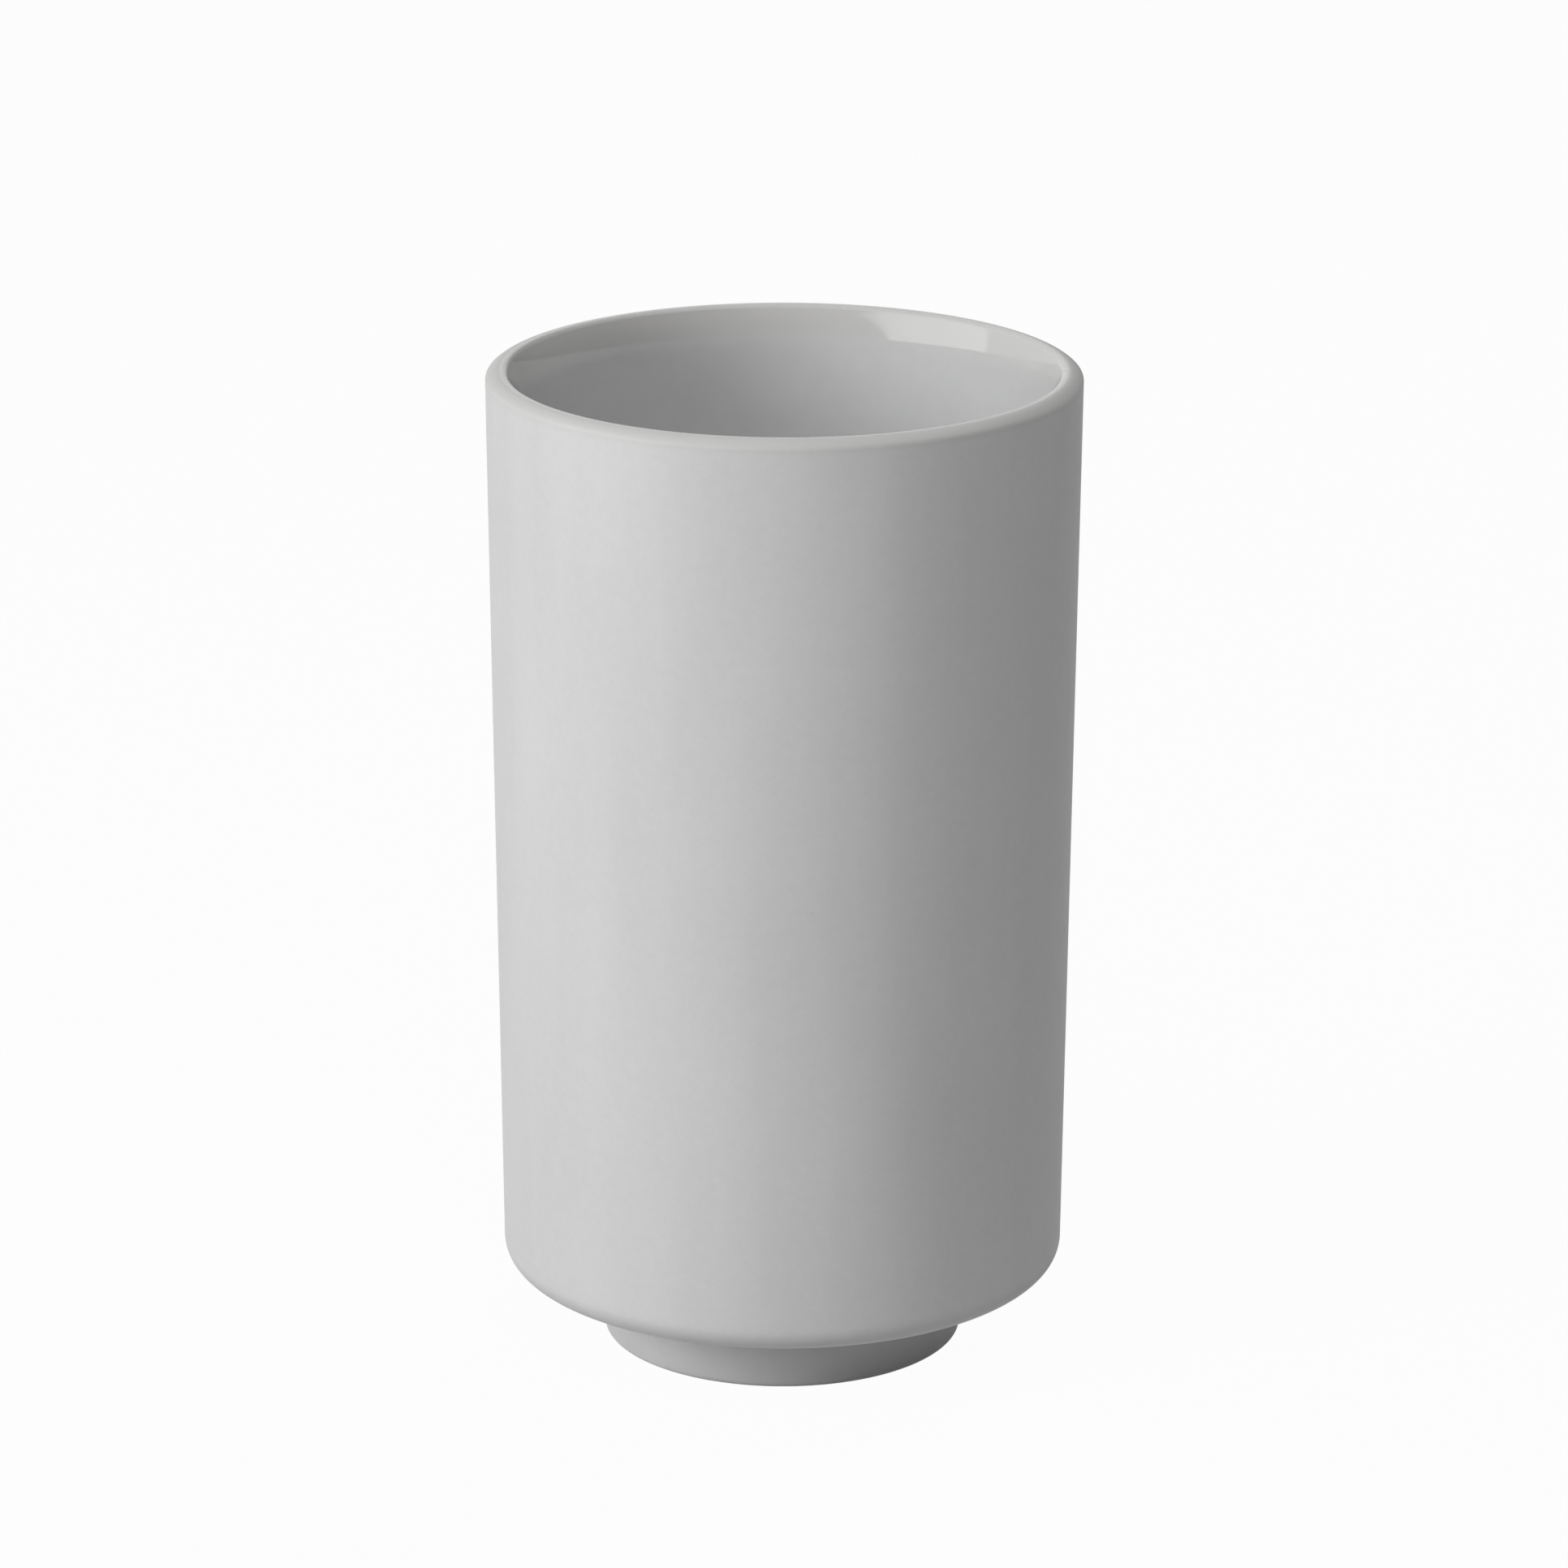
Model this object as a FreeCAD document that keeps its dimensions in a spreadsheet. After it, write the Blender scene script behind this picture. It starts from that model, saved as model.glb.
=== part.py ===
import FreeCAD, Part
import math
import os
import Sketcher

# A bathroom tumbler in matt stoneware: a tall cup with a rolled lip and a rounded heel, a foot ring
# luted under its floor, and a coat of gloss glaze inside. Millimetres, +Z up, with the origin on the
# ground under the cup's axis. The cup and its glaze are drawn from the cup's underside upwards and
# stand on the foot ring.

doc = FreeCAD.newDocument("bathroom_tumbler")

# Driving dimensions
driving = [
    ("total_height", 120.0, "ground to the crest of the lip"),
    ("foot_height", 9.0, "ground to the underside of the cup"),
    ("rim_radius", 35.1, "outside of the wall where the lip starts"),
    ("base_radius", 33.8, "outside of the wall carried down to the underside"),
    ("heel_radius", 3.2, "round between the wall and the underside"),
    ("wall", 3.5, "stoneware wall below the flare, without glaze"),
    ("floor", 4.2, "stoneware floor, without glaze"),
    ("floor_corner", 6.5, "round between floor and wall, in the stoneware"),
    ("lip_drop", 1.2, "crest of the lip down to the straight wall, outside"),
    ("lip_edge", 0.75, "radius of the lip's tighter arc, next to the wall"),
    ("lip_crest", 1.9, "outside of the wall in to the crest of the lip"),
    ("lip_round", 0.85, "arc from the crest of the lip in to the glaze"),
    ("flare_depth", 5.0, "crest of the lip down to the straight wall, inside"),
    ("glaze", 0.35, "thickness of the glaze coat on the floor and the wall"),
    ("glaze_line", 0.42, "crest of the lip down to the upper edge of the glaze"),
    ("foot_radius", 21.6, "outside of the foot at the ground"),
    ("foot_width", 4.6, "foot ring from outside to inside at the ground"),
    ("foot_draft", 0.5, "how much each side of the foot spreads towards the cup"),
    ("foot_edge", 0.8, "round on the foot's two ground edges"),
    ("cove_height", 2.1, "height of the cove where the foot meets the cup"),
    ("cove_radius", 3.0, "arc of that cove"),
    ("tongue_width", 1.6, "tongue on the foot ring that keys into the cup"),
    ("tongue_height", 0.9, "height of that tongue"),
    ("luting_gap", 0.1, "room for slip around the tongue"),
    ("overrun", 1.0, "how far a cut starts outside the solid"),
]
sheet = doc.addObject("Spreadsheet::Sheet", "sizes")
for row, (alias, length, note) in enumerate(driving, start=1):
    sheet.set(f"A{row}", alias)
    sheet.set(f"B{row}", str(length))
    sheet.set(f"C{row}", note)
    sheet.setAlias(f"B{row}", alias)
doc.recompute()

# Sizes that follow from them, as expressions on the sheet
crest_height = "(sizes.total_height - sizes.foot_height)"
wall_top = f"({crest_height} - sizes.lip_drop)"
wall_lean = f"atan((sizes.rim_radius - sizes.base_radius) / {wall_top})"
bore_radius = "(sizes.rim_radius - sizes.wall)"
crest_radius = "(sizes.rim_radius - sizes.lip_crest)"
line_reach = "sqrt(sizes.lip_round ^ 2 - (sizes.lip_round - sizes.glaze_line) ^ 2)"
line_radius = f"({crest_radius} - {line_reach})"
line_height = f"({crest_height} - sizes.glaze_line)"
flare_height = f"({crest_height} - sizes.flare_depth)"
hollow_radius = "(sizes.foot_radius - sizes.foot_width)"
tongue_middle = "(sizes.foot_radius - sizes.foot_width / 2)"
tongue_inside = f"({tongue_middle} - sizes.tongue_width / 2)"
tongue_outside = f"({tongue_middle} + sizes.tongue_width / 2)"

# Sketcher's own numbers for the parts of a sketch
origin_point = (-1, 1)
ground_line = -1
axis_line = -2
start, end, centre = 1, 2, 3
full_turn = 360


def size(expression):
    # The present value of an expression on the sheet
    result = sheet.evalExpression(expression)
    return float(getattr(result, "Value", result))


def point(radius, height):
    return FreeCAD.Vector(radius, height, 0)


def halfway(middle, first, last):
    # The point of an arc about middle that lies halfway between its two ends
    outward = (first - middle) + (last - middle)
    return middle + outward.normalize() * first.distanceToPoint(middle)


def new_body(label):
    body = doc.addObject("PartDesign::Body", label)
    body.Label = label
    return body


class Outline:
    # A closed outline in the plane through the axis: across is the radius, up is the height.
    # Leg number n runs from corner n to the next, as an arc where it has a point to pass through,
    # and legs named in smooth leave the leg before them at a tangent.
    def __init__(self, body, name, corners, arcs=None, smooth=()):
        arcs = arcs or {}
        self.sketch = body.newObject("Sketcher::SketchObject", name)
        plane = next(item for item in body.Origin.OriginFeatures if item.Role == "XZ_Plane")
        self.sketch.AttachmentSupport = [(plane, "")]
        self.sketch.MapMode = "FlatFace"
        self.tails = []
        self.heads = []
        for leg, here in enumerate(corners):
            there = corners[(leg + 1) % len(corners)]
            self.add_leg(here, there, arcs.get(leg))
        for leg in range(len(corners)):
            kind = "Tangent" if leg in smooth else "Coincident"
            self.rule(kind, *self.heads[leg - 1], *self.tails[leg])

    def add_leg(self, here, there, via):
        # Arcs run anticlockwise in a sketch, so a clockwise leg starts at its arc's end
        if via is None:
            leg = self.sketch.addGeometry(Part.LineSegment(here, there))
            turn = 1
        else:
            turn = (via - here).cross(there - via).z
            ends = (here, there) if turn > 0 else (there, here)
            leg = self.sketch.addGeometry(Part.Arc(ends[0], via, ends[1]))
        self.tails.append((leg, start if turn > 0 else end))
        self.heads.append((leg, end if turn > 0 else start))

    def rule(self, kind, *items):
        return self.sketch.addConstraint(Sketcher.Constraint(kind, *items))

    def bind(self, kind, items, expression, unit=1):
        index = self.rule(kind, *items, size(expression) * unit)
        self.sketch.setExpression(f"Constraints[{index}]", expression)

    def across(self, leg, expression):
        self.bind("DistanceX", (*origin_point, *self.tails[leg]), expression)

    def up(self, leg, expression):
        self.bind("DistanceY", (*origin_point, *self.tails[leg]), expression)

    def radius(self, leg, expression):
        self.bind("Radius", (leg,), expression)

    def level(self, *legs):
        for leg in legs:
            self.rule("Horizontal", leg)

    def upright(self, *legs):
        for leg in legs:
            self.rule("Vertical", leg)

    def revolve(self, body, kind, name):
        feature = body.newObject(f"PartDesign::{kind}", name)
        feature.Profile = self.sketch
        feature.ReferenceAxis = (self.sketch, ["V_Axis"])
        feature.Angle = full_turn
        doc.recompute()
        return feature


def round_edges(body, name, base, rings, expression):
    # Rounds the circular edges of base that lie at the given radii and heights
    names = []
    for radius, height in rings:
        gaps = {}
        for number, edge in enumerate(base.Shape.Edges, start=1):
            if isinstance(edge.Curve, Part.Circle):
                across = edge.Curve.Radius - size(radius)
                up = edge.Curve.Center.z - size(height)
                gaps[f"Edge{number}"] = math.hypot(across, up)
        names.append(min(gaps, key=gaps.get))
    fillet = body.newObject("PartDesign::Fillet", name)
    fillet.Base = (base, names)
    fillet.setExpression("Radius", expression)
    doc.recompute()
    return fillet


def inside_corners(coat):
    # The inside, drawn in by the thickness of a coat: floor, corner, wall and flare, from the axis up
    # to the glaze line, with the points that the arcs of the corner and the flare pass through
    wall = size(f"{bore_radius} - {coat}")
    floor = size(f"sizes.floor + {coat}")
    corner = size(f"sizes.floor_corner - {coat}")
    foot = point(wall, size(flare_height))
    line = point(size(line_radius), size(line_height))
    climb = line - foot
    flare_middle = foot + point(climb.Length ** 2 / (2 * climb.x), 0)
    corner_middle = point(wall - corner, floor + corner)
    corners = [point(0, floor), point(corner_middle.x, floor), point(wall, corner_middle.y), foot, line]
    corner_via = halfway(corner_middle, corners[1], corners[2])
    flare_via = halfway(flare_middle, foot, line)
    return corners, corner_via, flare_via


def hold_inside(outline, legs, coat):
    # Ties the legs of floor, corner, wall and flare to their sizes
    floor, corner, wall, flare = legs
    outline.level(floor)
    outline.up(floor, f"(sizes.floor + {coat})")
    outline.radius(corner, f"(sizes.floor_corner - {coat})")
    outline.across(max(wall, flare), f"({bore_radius} - {coat})")
    outline.bind("DistanceY", (*origin_point, flare, centre), flare_height)


def cup_outline(body):
    # Half the section of the cup: underside, wall, lip, inside. The lip is a tight arc next to the wall,
    # a crown arc up to the crest and a round arc down to the glaze line.
    crest = point(size(crest_radius), size(crest_height))
    shoulder = point(size("sizes.rim_radius"), size(wall_top))
    across = shoulder.x - crest.x
    up = crest.y - shoulder.y
    edge = size("sizes.lip_edge")
    crown = (across ** 2 + up ** 2 - 2 * across * edge) / (2 * (up - edge))
    edge_middle = shoulder - point(edge, 0)
    crown_middle = crest - point(0, crown)
    round_middle = crest - point(0, size("sizes.lip_round"))
    blend = edge_middle + (edge_middle - crown_middle).normalize() * edge
    inside, corner_via, flare_via = inside_corners("0")
    corners = [point(0, 0), point(size("sizes.base_radius"), 0), shoulder, blend, crest, *inside[::-1]]
    arcs = {
        2: halfway(edge_middle, shoulder, blend),
        3: halfway(crown_middle, blend, crest),
        4: halfway(round_middle, crest, inside[-1]),
        5: flare_via,
        7: corner_via,
    }
    outline = Outline(body, "cup_outline", corners, arcs, smooth=(2, 3, 4, 6, 7, 8))
    outline.rule("Coincident", *outline.tails[0], *origin_point)
    outline.level(0)
    outline.upright(9)
    outline.across(1, "sizes.base_radius")
    outline.across(2, "sizes.rim_radius")
    outline.up(2, wall_top)
    outline.radius(2, "sizes.lip_edge")
    outline.across(4, crest_radius)
    outline.up(4, crest_height)
    outline.rule("Vertical", 3, centre, *outline.tails[4])
    outline.radius(4, "sizes.lip_round")
    outline.up(5, line_height)
    outline.rule("Parallel", 1, 6)
    hold_inside(outline, (8, 7, 6, 5), "0")
    return outline


def coat_outline(body):
    # Half the section of the glaze: up its back and down its face, which meet at the glaze line
    back, back_corner, back_flare = inside_corners("0")
    face, face_corner, face_flare = inside_corners("sizes.glaze")
    arcs = {1: back_corner, 3: back_flare, 4: face_flare, 6: face_corner}
    corners = back + face[-2::-1]
    outline = Outline(body, "coat_outline", corners, arcs, smooth=(1, 2, 3, 5, 6, 7))
    outline.rule("PointOnObject", *outline.tails[8], axis_line)
    outline.rule("PointOnObject", *outline.heads[8], axis_line)
    outline.across(4, line_radius)
    outline.up(4, line_height)
    outline.bind("Angle", (2,), f"90 deg - {wall_lean}", math.radians(1))
    outline.rule("Parallel", 2, 5)
    hold_inside(outline, (0, 1, 2, 3), "0")
    hold_inside(outline, (7, 6, 5, 4), "sizes.glaze")
    return outline


def make_cup():
    body = new_body("cup_body")
    cup = cup_outline(body).revolve(body, "Revolution", "cup")
    round_edges(body, "heel", cup, [("sizes.base_radius", "0")], "sizes.heel_radius")
    inside = f"({tongue_inside} - sizes.luting_gap)"
    outside = f"({tongue_outside} + sizes.luting_gap)"
    top = "(sizes.tongue_height + sizes.luting_gap)"
    corners = [
        point(size(inside), -size("sizes.overrun")),
        point(size(outside), -size("sizes.overrun")),
        point(size(outside), size(top)),
        point(size(inside), size(top)),
    ]
    keyway = Outline(body, "keyway_outline", corners)
    keyway.level(0, 2)
    keyway.upright(1, 3)
    keyway.across(0, inside)
    keyway.across(1, outside)
    keyway.up(0, "-sizes.overrun")
    keyway.up(2, top)
    keyway.revolve(body, "Groove", "keyway")
    body.setExpression("Placement.Base.z", "sizes.foot_height")
    return body


def make_glaze():
    body = new_body("inner_glaze")
    coat_outline(body).revolve(body, "Revolution", "coat")
    body.setExpression("Placement.Base.z", "sizes.foot_height")
    return body


def make_foot():
    body = new_body("foot_ring")
    cove_bottom = "(sizes.foot_height - sizes.cove_height)"
    tongue_top = "(sizes.foot_height + sizes.tongue_height)"
    neck_radius = "(sizes.foot_radius + sizes.foot_draft)"
    throat_radius = f"({hollow_radius} - sizes.foot_draft)"
    seat = size("sizes.foot_height")
    neck = point(size(neck_radius), size(cove_bottom))
    cove_middle = neck + point(size("sizes.cove_radius"), 0)
    cove_end = cove_middle.x - math.sqrt(size("sizes.cove_radius") ** 2 - size("sizes.cove_height") ** 2)
    corners = [
        point(size(hollow_radius), 0),
        point(size("sizes.foot_radius"), 0),
        neck,
        point(cove_end, seat),
        point(size(tongue_outside), seat),
        point(size(tongue_outside), size(tongue_top)),
        point(size(tongue_inside), size(tongue_top)),
        point(size(tongue_inside), seat),
        point(size(throat_radius), seat),
    ]
    arcs = {2: halfway(cove_middle, corners[2], corners[3])}
    outline = Outline(body, "foot_outline", corners, arcs, smooth=(2,))
    outline.rule("PointOnObject", *outline.tails[0], ground_line)
    outline.level(0, 3, 5, 7)
    outline.upright(4, 6)
    outline.across(0, hollow_radius)
    outline.across(1, "sizes.foot_radius")
    outline.across(2, neck_radius)
    outline.up(2, cove_bottom)
    outline.radius(2, "sizes.cove_radius")
    outline.up(3, "sizes.foot_height")
    outline.across(4, tongue_outside)
    outline.up(5, tongue_top)
    outline.across(6, tongue_inside)
    outline.up(7, "sizes.foot_height")
    outline.across(8, throat_radius)
    ring = outline.revolve(body, "Revolution", "ring")
    ground_edges = [("sizes.foot_radius", "0"), (hollow_radius, "0")]
    round_edges(body, "ground_edges", ring, ground_edges, "sizes.foot_edge")
    return body


bodies = [make_cup(), make_glaze(), make_foot()]
doc.recompute()

for item in doc.Objects:
    if "Invalid" in item.State or "Error" in item.State:
        raise RuntimeError(f"{item.Label} failed: {item.State}")
for body in bodies:
    if body.Shape.isNull() or not body.Shape.isValid() or len(body.Shape.Solids) != 1:
        raise RuntimeError(f"{body.Label} is not one valid solid")

os.makedirs("parts", exist_ok=True)
for body in bodies:
    body.Shape.exportStep(f"parts/{body.Label}.step")
    box = body.Shape.optimalBoundingBox()
    print(f"{body.Label}: {body.Shape.Volume:.1f} mm3, height {box.ZMin:.3f} to {box.ZMax:.3f}")
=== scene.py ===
import math

import bmesh
import bpy
from mathutils import Matrix, Vector


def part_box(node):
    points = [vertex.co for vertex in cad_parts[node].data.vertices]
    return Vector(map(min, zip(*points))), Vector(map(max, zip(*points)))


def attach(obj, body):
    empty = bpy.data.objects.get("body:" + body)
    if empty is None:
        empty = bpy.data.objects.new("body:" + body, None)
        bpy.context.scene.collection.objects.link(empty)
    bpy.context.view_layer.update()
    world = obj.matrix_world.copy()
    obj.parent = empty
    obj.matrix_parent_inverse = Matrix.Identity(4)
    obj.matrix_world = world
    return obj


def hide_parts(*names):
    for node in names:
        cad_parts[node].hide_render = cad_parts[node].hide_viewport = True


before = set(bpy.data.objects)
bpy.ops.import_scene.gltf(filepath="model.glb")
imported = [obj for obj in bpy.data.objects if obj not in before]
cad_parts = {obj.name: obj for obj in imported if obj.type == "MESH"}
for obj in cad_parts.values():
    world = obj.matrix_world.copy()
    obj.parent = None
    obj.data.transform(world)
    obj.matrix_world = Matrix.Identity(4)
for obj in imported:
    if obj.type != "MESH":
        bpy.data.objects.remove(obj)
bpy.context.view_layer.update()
print("frame loaded:", sorted(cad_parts))

mm = 0.001  # the pieces' sizes are in millimetres; the scene, lamps and camera are in metres
turnSteps = 448  # faces round the axis
mergeGap = 1e-7
sharpEdge = math.radians(25)
quarterTurn = math.pi / 2
fineDetail = 3.0  # layers of a noise that has fine marks in it
noiseMiddle = 0.5


class HalfSection:
    # half of a turned section, drawn leg by leg in millimetres and then spun about the axis

    def __init__(self, radius, height):
        self.mesh = bmesh.new()
        self.tip = self.mesh.verts.new((radius * mm, 0, height * mm))

    def line(self, radius, height, rows=1, support=0):
        # support is the length of a short row at each end, which keeps the shading of a long leg flat
        start = self.tip.co.copy()
        leg = Vector((radius * mm, 0, height * mm)) - start
        shares = [row / rows for row in range(1, rows + 1)]
        if support:
            short = support * mm / leg.length
            shares = [short] + shares[:-1] + [1 - short, 1]
        for share in shares:
            grown = bmesh.ops.extrude_vert_indiv(self.mesh, verts=[self.tip])
            self.tip = grown["verts"][0]
            bmesh.ops.translate(self.mesh, verts=[self.tip], vec=start + leg * share - self.tip.co)

    def arc(self, radius, height, turn, steps):
        # about that centre, anticlockwise where the turn is positive
        centre = (radius * mm, 0, height * mm)
        swept = bmesh.ops.spin(
            self.mesh, geom=[self.tip], cent=centre, axis=(0, -1, 0), angle=turn, steps=steps
        )
        self.tip = next(item for item in swept["geom_last"] if isinstance(item, bmesh.types.BMVert))

    def join(self, other):
        # takes in another outline that starts at the same point
        spare = bpy.data.meshes.new("spare")
        other.mesh.to_mesh(spare)
        other.mesh.free()
        self.mesh.from_mesh(spare)
        bpy.data.meshes.remove(spare)
        bmesh.ops.remove_doubles(self.mesh, verts=self.mesh.verts[:], dist=mergeGap)

    def turn(self, name):
        outline = self.mesh.verts[:] + self.mesh.edges[:]
        bmesh.ops.spin(
            self.mesh,
            geom=outline,
            axis=(0, 0, 1),
            angle=math.tau,
            steps=turnSteps,
            use_merge=True,
        )
        bmesh.ops.remove_doubles(self.mesh, verts=self.mesh.verts[:], dist=mergeGap)
        bmesh.ops.recalc_face_normals(self.mesh, faces=self.mesh.faces[:])
        for face in self.mesh.faces:
            face.smooth = True
        for edge in self.mesh.edges:
            edge.smooth = edge.calc_face_angle(0) < sharpEdge
        made = bpy.data.meshes.new(name)
        self.mesh.to_mesh(made)
        self.mesh.free()
        piece = bpy.data.objects.new(name, made)
        bpy.context.scene.collection.objects.link(piece)
        return piece


def seat(piece, node, material):
    piece.data.materials.append(material)
    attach(piece, "root")
    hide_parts(node)
    print("piece:", piece.name, len(piece.data.polygons), "faces")


class Wire:
    # one output socket, so that shader maths reads as plain sums

    def __init__(self, finish, socket):
        self.finish = finish
        self.socket = socket

    def maths(self, operation, first, second):
        return self.finish.node("ShaderNodeMath", {"operation": operation}, {0: first, 1: second})

    def __add__(self, other):
        return self.maths("ADD", self, other)

    __radd__ = __add__

    def __sub__(self, other):
        return self.maths("SUBTRACT", self, other)

    def __rsub__(self, other):
        return self.maths("SUBTRACT", other, self)

    def __mul__(self, other):
        return self.maths("MULTIPLY", self, other)

    __rmul__ = __mul__


class Finish:
    # the node tree of a material or of the world

    def __init__(self, owner):
        owner.use_nodes = True
        self.tree = owner.node_tree
        self.tree.nodes.clear()

    def node(self, kind, settings=None, inputs=None, output=0):
        made = self.tree.nodes.new(kind)
        for name, value in (settings or {}).items():
            setattr(made, name, value)
        for name, value in (inputs or {}).items():
            if isinstance(value, Wire):
                self.tree.links.new(value.socket, made.inputs[name])
            else:
                made.inputs[name].default_value = value
        return Wire(self, made.outputs[output]) if made.outputs else None

    def place(self, stretch=(1, 1, 1)):
        here = self.node("ShaderNodeTexCoord", output="Object")
        return self.node("ShaderNodeMapping", {}, {"Vector": here, "Scale": stretch})

    def noise(self, place, grain, detail=2.0, roughness=0.5):
        # grain is the width of one blotch in millimetres
        sizes = {"Vector": place, "Scale": 1 / (grain * mm), "Detail": detail, "Roughness": roughness}
        return self.node("ShaderNodeTexNoise", {}, sizes)

    def height(self):
        return self.node("ShaderNodeSeparateXYZ", {}, {"Vector": self.place()}, output="Z")

    def radius(self):
        level = self.place(stretch=(1, 1, 0))
        return self.node("ShaderNodeVectorMath", {"operation": "LENGTH"}, {0: level}, output="Value")

    def grow(self, measure, low, high):
        # grows smoothly from 0 to 1 between two measures in millimetres
        span = {"Value": measure, "From Min": low * mm, "From Max": high * mm}
        return self.node("ShaderNodeMapRange", {"interpolation_type": "SMOOTHSTEP"}, span)

    def rings(self, width):
        # marks of the wheel: level lines on a wall, and circles on a floor
        run = {"W": self.radius() + self.height(), "Scale": 1 / (width * mm), "Detail": fineDetail}
        return self.node("ShaderNodeTexNoise", {"noise_dimensions": "1D"}, run)

    def specks(self, spacing, size):
        # 1 at the middle of a few small dots, and 0 away from them
        cells = {"Vector": self.place(), "Scale": 1 / (spacing * mm)}
        away = self.node("ShaderNodeTexVoronoi", {}, cells, output="Distance")
        span = {"Value": away, "From Min": 0.0, "From Max": size / spacing, "To Min": 1.0, "To Max": 0.0}
        return self.node("ShaderNodeMapRange", {}, span)

    def blend(self, share, first, second):
        # the colour sockets of a mix: its factor, its two colours and its result
        colours = {0: share, 6: first, 7: second}
        return self.node("ShaderNodeMix", {"data_type": "RGBA"}, colours, output=2)


def newMaterial(name):
    material = bpy.data.materials.new(name)
    return material, Finish(material)


def grey(level, warmth=0.0):
    return (level * (1 + warmth), level, level * (1 - warmth), 1)


def mattStoneware(name, look):
    material, finish = newMaterial(name)
    place = finish.place()
    clouds = finish.noise(place, look["cloudSize"], detail=fineDetail)
    streaks = finish.noise(finish.place(stretch=look["streakStretch"]), look["streakSize"])
    mottle = finish.noise(place, look["mottleSize"])
    grain = finish.noise(place, look["grainSize"], fineDetail, look["grainRoughness"])
    rings = finish.rings(look["ringSize"])
    broad = clouds * look["cloudShare"] + streaks * look["streakShare"]
    tone = broad + mottle * look["mottleShare"] + grain * look["grainShare"]
    body = finish.blend(tone, grey(look["dark"]), grey(look["light"]))
    # the lip is painted in a warmer, darker clay tone: partly the clay's own warmth, partly painted
    # shade that keeps the upturned lip from lighting up too bright
    height = finish.height()
    shadedBand = finish.grow(height, look["shadedFrom"], look["shadedTo"])
    warmedAndShaded = finish.blend(shadedBand * look["shadedShare"], body, look["clayToneAndShade"])
    specks = finish.specks(look["speckSpacing"], look["speckSize"]) * look["speckShare"]
    colour = finish.blend(specks, warmedAndShaded, grey(look["speck"]))
    # the foot is ground bare where it stands, and the inner side of the crest is smooth with glaze
    bare = 1 - finish.grow(height, 0, look["groundHeight"])
    wiped = shadedBand * (1 - finish.grow(finish.radius(), look["wipedRadius"], look["mattRadius"]))
    uneven = (grain - noiseMiddle) * look["roughnessSpread"]
    roughness = look["roughness"] + uneven + bare * look["groundRoughness"] - wiped * look["wipedGloss"]
    turned = rings * (look["ringDepth"] + bare * look["groundDepth"])
    relief = grain * look["grainDepth"] + mottle * look["mottleDepth"] + turned
    normal = finish.node("ShaderNodeBump", {}, {"Strength": 1.0, "Distance": mm, "Height": relief})
    shader = finish.node(
        "ShaderNodeBsdfPrincipled",
        {},
        {"Base Color": colour, "Roughness": roughness, "IOR": look["ior"], "Normal": normal},
    )
    finish.node("ShaderNodeOutputMaterial", {}, {"Surface": shader})
    return material


def glossGlaze(name, look):
    material, finish = newMaterial(name)
    place = finish.place()
    clouds = finish.noise(place, look["cloudSize"])
    peel = finish.noise(place, look["peelSize"], detail=1.0)
    mottle = finish.noise(place, look["mottleSize"])
    tone = clouds * look["cloudShare"] + mottle * look["mottleShare"]
    coat = finish.blend(tone, grey(look["dark"], look["warmth"]), grey(look["light"], look["warmth"]))
    # towards its line on the lip the coat is painted darker and a little warmer, which is painted shade
    # on the upturned flare, and it is less glossy there
    shadedBand = finish.grow(finish.height(), look["shadedFrom"], look["shadedTo"])
    colour = finish.blend(shadedBand * look["shadedShare"], coat, look["clayToneAndShade"])
    uneven = (clouds - noiseMiddle) * look["roughnessSpread"]
    roughness = look["roughness"] + uneven + shadedBand * look["shadedRoughness"]
    relief = peel * look["peelDepth"]
    normal = finish.node("ShaderNodeBump", {}, {"Strength": 1.0, "Distance": mm, "Height": relief})
    shader = finish.node(
        "ShaderNodeBsdfPrincipled",
        {},
        {"Base Color": colour, "Roughness": roughness, "IOR": look["ior"], "Normal": normal},
    )
    finish.node("ShaderNodeOutputMaterial", {}, {"Surface": shader})
    return material


# cup
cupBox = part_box("cup_body")
crestHeight = cupBox[1].z / mm
seatHeight = cupBox[0].z / mm
rimRadius = cupBox[1].x / mm

cup = {
    "baseRadius": 33.8,
    "heel": 3.2,
    "wall": 3.5,
    "floor": 4.2,
    "floorCorner": 6.5,
    "lipDrop": 1.2,
    "lipEdge": 0.75,
    "lipCrest": 1.9,
    "lipRound": 0.85,
    "flareDepth": 5.0,
    "keywayInside": 18.4,
    "keywayOutside": 20.2,
    "keywayDepth": 1.0,
    "heelSteps": 18,
    "edgeSteps": 8,
    "crownSteps": 14,
    "roundSteps": 14,
    "flareSteps": 24,
    "cornerSteps": 14,
    "underRows": 4,
    "wallRows": 16,
    "insideRows": 12,
    "floorRows": 6,
    "support": 0.4,
}
glaze = {"coat": 0.35, "line": 0.42}

wallTop = crestHeight - cup["lipDrop"]
lean = math.atan2(rimRadius - cup["baseRadius"], wallTop - seatHeight)
flareHeight = crestHeight - cup["flareDepth"]
boreRadius = rimRadius - cup["wall"]
crestRadius = rimRadius - cup["lipCrest"]
# the glaze starts on the inner side of the lip, a little below its crest
lineTurn = math.acos(1 - glaze["line"] / cup["lipRound"])
lineRadius = crestRadius - cup["lipRound"] * math.sin(lineTurn)
lineHeight = crestHeight - glaze["line"]


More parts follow.
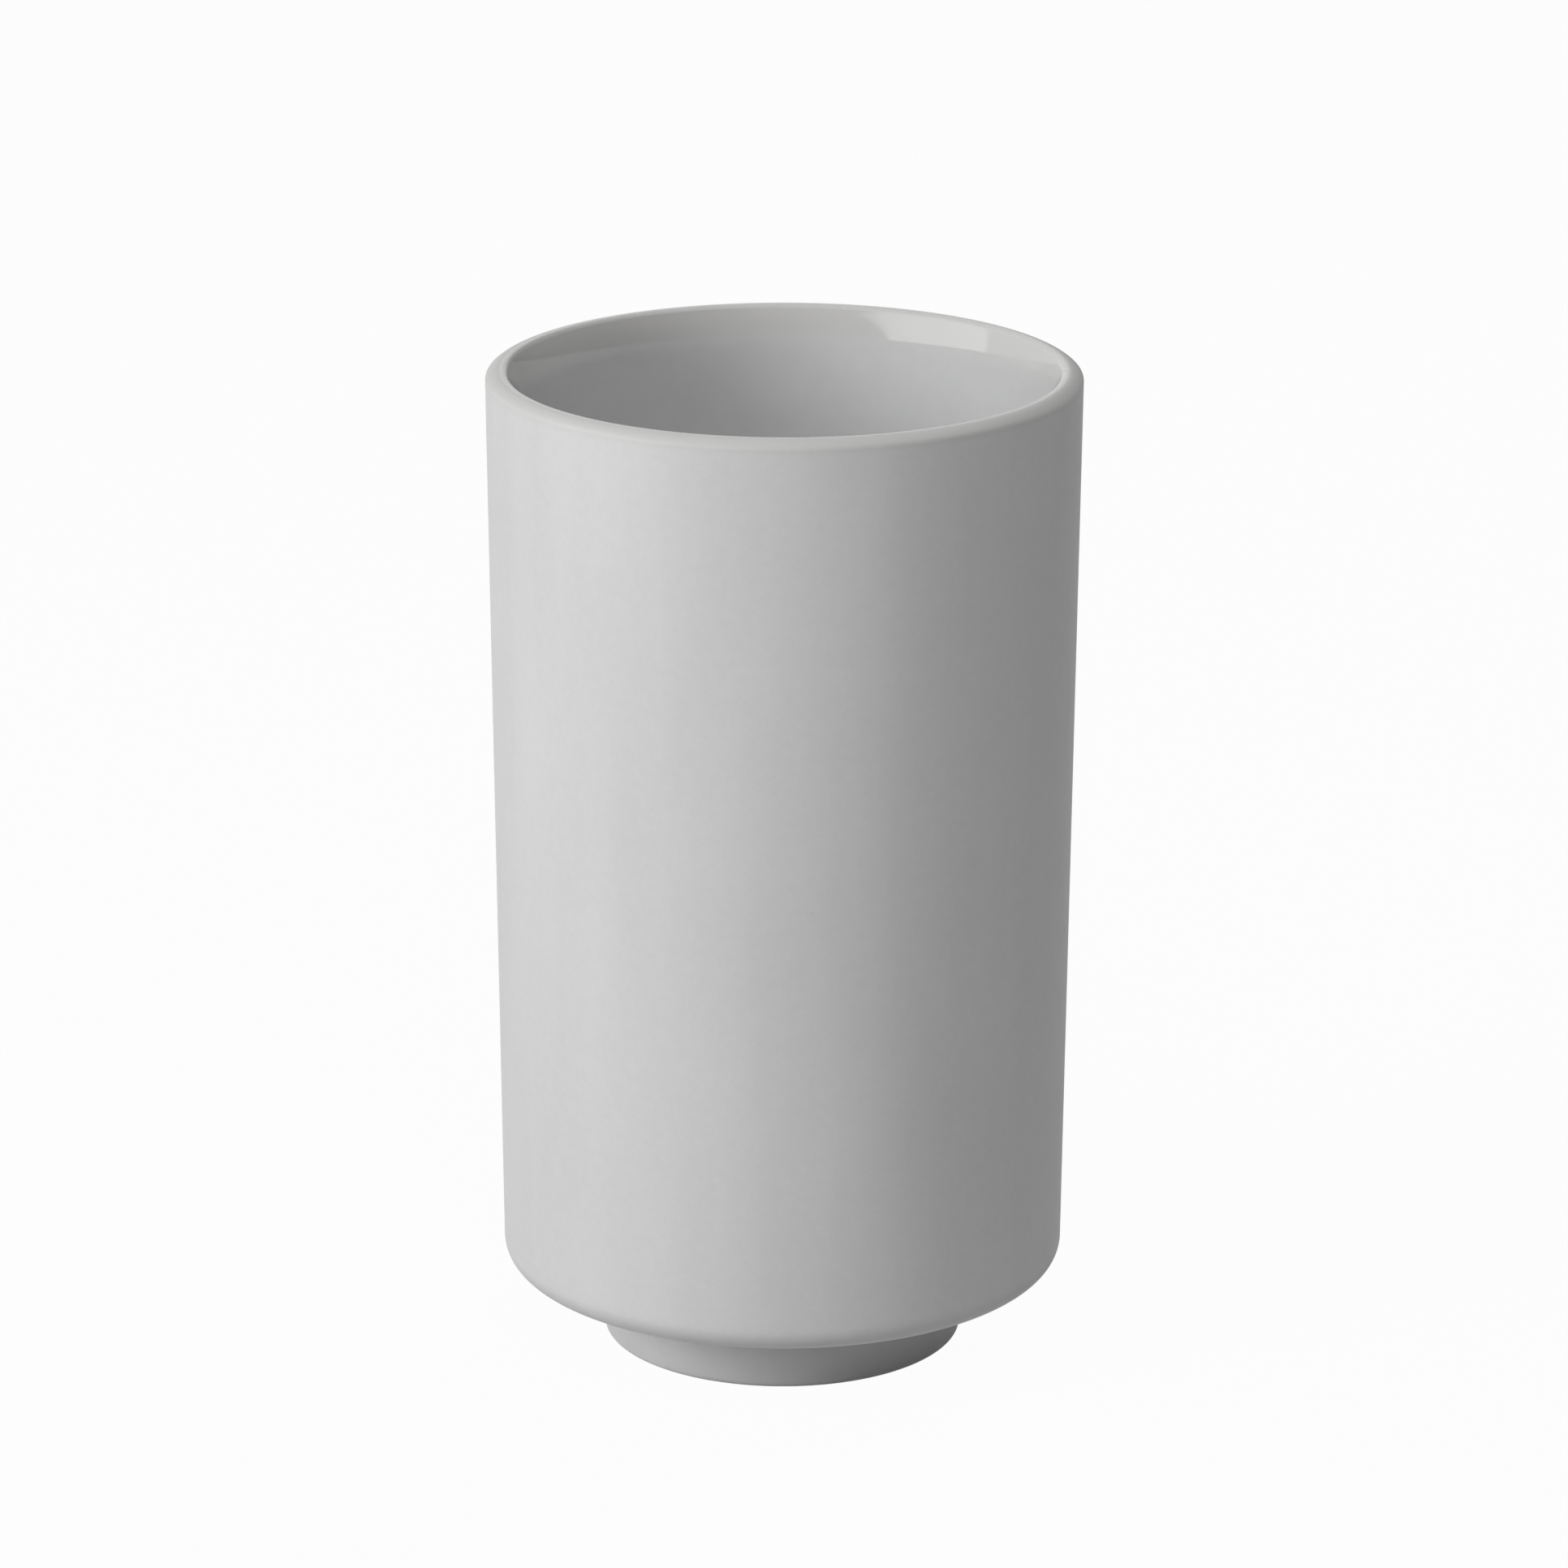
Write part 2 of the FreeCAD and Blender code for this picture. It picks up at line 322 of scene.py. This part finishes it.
def drawInside(section, wallRadius, floorHeight, corner):
    # from the glaze line down the flare and the wall, round the corner and along the floor to the axis
    reach = lineRadius - wallRadius
    rise = lineHeight - flareHeight
    square = reach ** 2 + rise ** 2
    level = reach * math.cos(lean)
    # this radius lets the flare pass the glaze line and run into the leaning wall at a tangent
    flare = square / (level + math.sqrt(level ** 2 + square * math.sin(lean) ** 2))
    flareTurn = math.asin(rise / flare) - lean
    section.arc(wallRadius + flare * math.cos(lean), flareHeight, flareTurn, cup["flareSteps"])
    wallHeight = flareHeight + flare * math.sin(lean)
    cornerHeight = floorHeight + corner
    cornerTop = cornerHeight - corner * math.sin(lean)
    cornerRadius = wallRadius - (wallHeight - cornerTop) * math.tan(lean)
    section.line(cornerRadius, cornerTop, cup["insideRows"], cup["support"])
    cornerCentre = cornerRadius - corner * math.cos(lean)
    section.arc(cornerCentre, cornerHeight, lean - quarterTurn, cup["cornerSteps"])
    section.line(0, floorHeight, cup["floorRows"], cup["support"])


def makeCup(material):
    heelCentre = cup["baseRadius"] - cup["heel"] * (1 - math.sin(lean)) / math.cos(lean)
    edge = cup["lipEdge"]
    edgeCentre = (rimRadius - edge * math.cos(lean), wallTop + edge * math.sin(lean))
    # the crown arc is level at the crest and meets the lip's edge arc at a tangent
    span = edgeCentre[0] - crestRadius
    fall = crestHeight - edgeCentre[1]
    crown = (span ** 2 + fall ** 2 - edge ** 2) / (2 * (fall - edge))
    crownEnd = math.atan2(edgeCentre[1] - (crestHeight - crown), span)
    keywayTop = seatHeight + cup["keywayDepth"]

    section = HalfSection(0, seatHeight)
    section.line(cup["keywayInside"], seatHeight, cup["floorRows"])
    section.line(cup["keywayInside"], keywayTop)
    section.line(cup["keywayOutside"], keywayTop)
    section.line(cup["keywayOutside"], seatHeight)
    section.line(heelCentre, seatHeight, cup["underRows"], cup["support"])
    section.arc(heelCentre, seatHeight + cup["heel"], quarterTurn - lean, cup["heelSteps"])
    section.line(rimRadius, wallTop, cup["wallRows"], cup["support"])
    section.arc(*edgeCentre, lean + crownEnd, cup["edgeSteps"])
    section.arc(crestRadius, crestHeight - crown, quarterTurn - crownEnd, cup["crownSteps"])
    section.arc(crestRadius, crestHeight - cup["lipRound"], lineTurn, cup["roundSteps"])
    drawInside(section, boreRadius, seatHeight + cup["floor"], cup["floorCorner"])
    seat(section.turn("matt_cup"), "cup_body", material)


def makeGlaze(material):
    coat = glaze["coat"]
    floor = seatHeight + cup["floor"]
    face = HalfSection(lineRadius, lineHeight)
    drawInside(face, boreRadius - coat, floor + coat, cup["floorCorner"] - coat)
    back = HalfSection(lineRadius, lineHeight)
    drawInside(back, boreRadius, floor, cup["floorCorner"])
    face.join(back)
    seat(face.turn("gloss_lining"), "inner_glaze", material)


foot = {
    "radius": 21.6,
    "width": 4.6,
    "draft": 0.5,
    "edge": 0.8,
    "coveHeight": 2.1,
    "coveRadius": 3.0,
    "tongueWidth": 1.6,
    "tongueHeight": 0.9,
    "edgeSteps": 10,
    "coveSteps": 10,
    "groundRows": 4,
    "groundSupport": 0.2,
    "sideRows": 3,
    "sideSupport": 0.3,
}


def makeFoot(material):
    edge = foot["edge"]
    neckHeight = seatHeight - foot["coveHeight"]
    neckRadius = foot["radius"] + foot["draft"]
    hollowRadius = foot["radius"] - foot["width"]
    outLean = math.atan2(foot["draft"], neckHeight)
    inLean = math.atan2(foot["draft"], seatHeight)
    # centres of the rounds where the two sides meet the ground
    outCentre = foot["radius"] - edge * (1 - math.sin(outLean)) / math.cos(outLean)
    inCentre = hollowRadius + edge * (1 - math.sin(inLean)) / math.cos(inLean)
    cove = foot["coveRadius"]
    coveCentre = (neckRadius + cove * math.cos(outLean), neckHeight - cove * math.sin(outLean))
    coveEnd = math.pi - math.asin((seatHeight - coveCentre[1]) / cove)
    tongueMiddle = foot["radius"] - foot["width"] / 2
    tongueInside = tongueMiddle - foot["tongueWidth"] / 2
    tongueOutside = tongueMiddle + foot["tongueWidth"] / 2
    tongueTop = seatHeight + foot["tongueHeight"]

    section = HalfSection(inCentre, 0)
    section.line(outCentre, 0, foot["groundRows"], foot["groundSupport"])
    section.arc(outCentre, edge, quarterTurn - outLean, foot["edgeSteps"])
    section.line(neckRadius, neckHeight, foot["sideRows"], foot["sideSupport"])
    section.arc(*coveCentre, coveEnd - math.pi + outLean, foot["coveSteps"])
    section.line(tongueOutside, seatHeight)
    section.line(tongueOutside, tongueTop)
    section.line(tongueInside, tongueTop)
    section.line(tongueInside, seatHeight)
    section.line(hollowRadius - foot["draft"], seatHeight)
    edgeStart = (inCentre - edge * math.cos(inLean), edge - edge * math.sin(inLean))
    section.line(*edgeStart, foot["sideRows"], foot["sideSupport"])
    section.arc(inCentre, edge, quarterTurn - inLean, foot["edgeSteps"])
    seat(section.turn("luted_foot"), "foot_ring", material)


# a slightly warm clay tone, set darker than the body so that it also paints shade on the lip and the
# flare
clayToneAndShade = (0.594, 0.590, 0.580, 1)
stoneware = {
    "dark": 0.60,
    "light": 0.79,
    "cloudSize": 22.0,
    "cloudShare": 0.28,
    "streakSize": 6.0,
    "streakStretch": (1, 1, 0.12),
    "streakShare": 0.3,
    "mottleSize": 1.2,
    "mottleShare": 0.22,
    "mottleDepth": 0.003,
    "grainSize": 0.4,
    "grainShare": 0.2,
    "grainRoughness": 0.6,
    "grainDepth": 0.005,
    "ringSize": 0.9,
    "ringDepth": 0.0015,
    "clayToneAndShade": clayToneAndShade,
    # the lip band that takes the darker clay tone, which is partly painted shade
    "shadedFrom": crestHeight - 2.0,
    "shadedTo": crestHeight - 0.4,
    "shadedShare": 0.7,
    "speck": 0.45,
    "speckSpacing": 6.0,
    "speckSize": 0.22,
    "speckShare": 0.25,
    "wipedRadius": crestRadius,
    "mattRadius": crestRadius + 0.5,
    "wipedGloss": 0.34,
    "groundHeight": 0.12,
    "groundDepth": 0.0,
    "groundRoughness": 0.0,
    "roughness": 0.6,
    "roughnessSpread": 0.12,
    "ior": 1.4,
}
# the foot's stoneware: ground where it stands, and painted lighter than the cup's, which is painted
# light on the foot
groundFootPaintedLighter = dict(
    stoneware,
    dark=0.63,
    light=0.80,
    ringDepth=0.003,
    groundDepth=0.012,
    groundRoughness=0.25,
)
lining = {
    "dark": 0.61,
    "light": 0.72,
    "warmth": -0.003,
    "cloudSize": 18.0,
    "cloudShare": 0.7,
    "mottleSize": 1.6,
    "mottleShare": 0.3,
    "peelSize": 5.0,
    "peelDepth": 0.01,
    "clayToneAndShade": clayToneAndShade,
    # the flare, where the glaze is painted darker: painted shade
    "shadedFrom": flareHeight - 0.5,
    "shadedTo": lineHeight - 1.0,
    "shadedShare": 0.9,
    "shadedRoughness": 0.03,
    "roughness": 0.06,
    "roughnessSpread": 0.02,
    "ior": 1.55,
}

makeCup(mattStoneware("matt_stoneware", stoneware))
makeGlaze(glossGlaze("gloss_glaze", lining))
makeFoot(mattStoneware("foot_stoneware", groundFootPaintedLighter))

# studio
studio = {
    "floorRadius": 3.0,
    "floorSides": 64,
    "floorShade": 0.50,
    "floorWhite": 0.97,
    "ambient": 0.08,
    "aim": (0, 0, 0.07),
}


def seesWhite(finish, otherwise=0.0):
    # 1 for the rays that show the background: straight, mirrored or through something clear;
    # the other value is for all the rest
    shown = otherwise
    for ray in ("Is Camera Ray", "Is Glossy Ray", "Is Transmission Ray"):
        path = finish.node("ShaderNodeLightPath", output=ray)
        shown = finish.node("ShaderNodeMath", {"operation": "MAXIMUM"}, {0: path, 1: shown})
    return shown


def makeFloor():
    material, finish = newMaterial("white_floor")
    shadow = finish.node("ShaderNodeBsdfDiffuse", {}, {"Color": grey(studio["floorShade"])})
    white = finish.node("ShaderNodeEmission", {}, {"Color": grey(1), "Strength": 1.0})
    seen = seesWhite(finish) * studio["floorWhite"]
    mixed = finish.node("ShaderNodeMixShader", {}, {0: seen, 1: shadow, 2: white})
    finish.node("ShaderNodeOutputMaterial", {}, {"Surface": mixed})
    sheet = bmesh.new()
    bmesh.ops.create_circle(
        sheet, cap_ends=True, segments=studio["floorSides"], radius=studio["floorRadius"]
    )
    made = bpy.data.meshes.new("floor")
    sheet.to_mesh(made)
    sheet.free()
    made.materials.append(material)
    floor = bpy.data.objects.new("floor", made)
    bpy.context.scene.collection.objects.link(floor)


def makeWorld():
    world = bpy.data.worlds.new("studio")
    bpy.context.scene.world = world
    finish = Finish(world)
    strength = seesWhite(finish, otherwise=studio["ambient"])
    room = finish.node("ShaderNodeBackground", {}, {"Color": grey(1), "Strength": strength})
    finish.node("ShaderNodeOutputWorld", {}, {"Surface": room})


def makePanel(name, panel):
    # a soft panel facing the cup, at degrees left of the camera and above the aim
    light = bpy.data.lights.new(name, "AREA")
    light.shape = "RECTANGLE"
    light.size, light.size_y = panel["size"]
    light.energy = panel["power"]
    tilt = Matrix.Rotation(math.radians(-panel["left"]), 3, "Z") @ Matrix.Rotation(
        quarterTurn - math.radians(panel["above"]), 3, "X"
    )
    lamp = bpy.data.objects.new(name, light)
    lamp.location = Vector(studio["aim"]) + tilt @ Vector((0, 0, panel["distance"]))
    lamp.rotation_euler = tilt.to_euler()
    lamp.visible_glossy = panel["mirrored"]
    bpy.context.scene.collection.objects.link(lamp)


flag = {"left": 46, "right": 165, "distance": 1.6, "top": 2.5, "shade": 0.02, "steps": 48}


def makeFlag():
    # a dark cloth in front and on the right, which shows only in the mirror of the glaze
    material, finish = newMaterial("dark_cloth")
    shader = finish.node("ShaderNodeBsdfDiffuse", {}, {"Color": grey(flag["shade"])})
    finish.node("ShaderNodeOutputMaterial", {}, {"Surface": shader})
    start = math.radians(flag["left"])
    corner = Vector((-math.sin(start), -math.cos(start), 0)) * flag["distance"]
    cloth = bmesh.new()
    low = cloth.verts.new(corner)
    high = bmesh.ops.extrude_vert_indiv(cloth, verts=[low])
    bmesh.ops.translate(cloth, verts=high["verts"], vec=(0, 0, flag["top"]))
    bmesh.ops.spin(
        cloth,
        geom=cloth.verts[:] + cloth.edges[:],
        axis=(0, 0, 1),
        angle=math.radians(flag["left"] + flag["right"]),
        steps=flag["steps"],
    )
    made = bpy.data.meshes.new("flag")
    cloth.to_mesh(made)
    cloth.free()
    made.materials.append(material)
    piece = bpy.data.objects.new("flag", made)
    piece.visible_camera = False
    piece.visible_diffuse = False
    piece.visible_transmission = False
    piece.visible_shadow = False
    bpy.context.scene.collection.objects.link(piece)


softbox = {
    "left": 72,
    "above": 25,
    "distance": 1.0,
    "size": (1.0, 0.83),
    "power": 4.0,
    "mirrored": True,
}
softboxCore = {
    "left": 60,
    "above": 19,
    "distance": 1.2,
    "size": (0.3, 0.42),
    "power": 4.2,
    "mirrored": False,
}
frontPanel = {
    "left": 2,
    "above": 49,
    "distance": 1.2,
    "size": (0.6, 0.6),
    "power": 5.0,
    "mirrored": False,
}
backPanel = {
    "left": -140,
    "above": 40,
    "distance": 1.2,
    "size": (0.6, 0.6),
    "power": 3.2,
    "mirrored": False,
}

makeFloor()
makeWorld()
makeFlag()
makePanel("softbox", softbox)
makePanel("softbox_core", softboxCore)
makePanel("front_panel", frontPanel)
makePanel("back_panel", backPanel)
print("studio lit")

lens = {"length": 154.58, "place": (0.00006, -0.76856, 0.30721), "pitch": 17.228, "roll": 0.14}


def makeCamera():
    view = bpy.data.cameras.new("camera")
    view.lens = lens["length"]
    camera = bpy.data.objects.new("camera", view)
    camera.location = lens["place"]
    tilt = Matrix.Rotation(quarterTurn - math.radians(lens["pitch"]), 3, "X")
    turned = tilt @ Matrix.Rotation(math.radians(lens["roll"]), 3, "Z")
    camera.rotation_euler = turned.to_euler()
    bpy.context.scene.collection.objects.link(camera)
    bpy.context.scene.camera = camera


makeCamera()
bpy.context.scene.view_settings.view_transform = "Standard"
